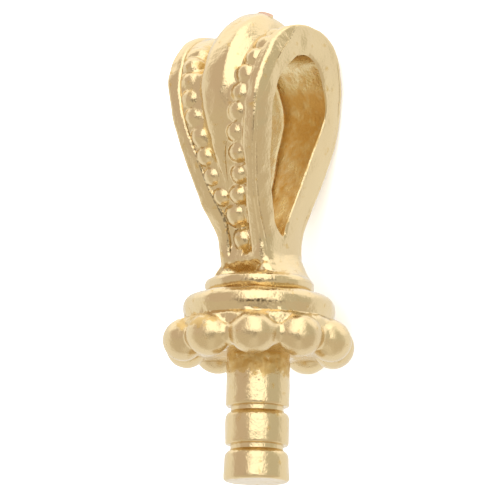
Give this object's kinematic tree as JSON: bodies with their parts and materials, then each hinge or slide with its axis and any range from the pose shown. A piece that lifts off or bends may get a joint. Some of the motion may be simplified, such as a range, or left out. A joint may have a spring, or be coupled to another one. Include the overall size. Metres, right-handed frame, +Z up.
{
  "type": "pendant peg bail",
  "caption": "Cast bail for a pendant: open loop with a raised leaf between rows of beads, a beaded crown below it, and a grooved peg that is glued into a drilled pendant.",
  "frame": {"origin": "middle of the bounding box's bottom face, on the surface that the part lies on", "axes": "+X from the peg's end towards the loop's top, +Y across the loop along the way through its opening, +Z up from the surface, towards the beaded front of the loop"},
  "size_m": [0.0204, 0.0082, 0.0084],
  "materials": {
    "gold_plated_brass": "polished pale gold plating over cast brass, with fine casting grain"
  },
  "bodies": {
    "root": {"peg_bail": "gold_plated_brass"}
  },
  "joints": []
}
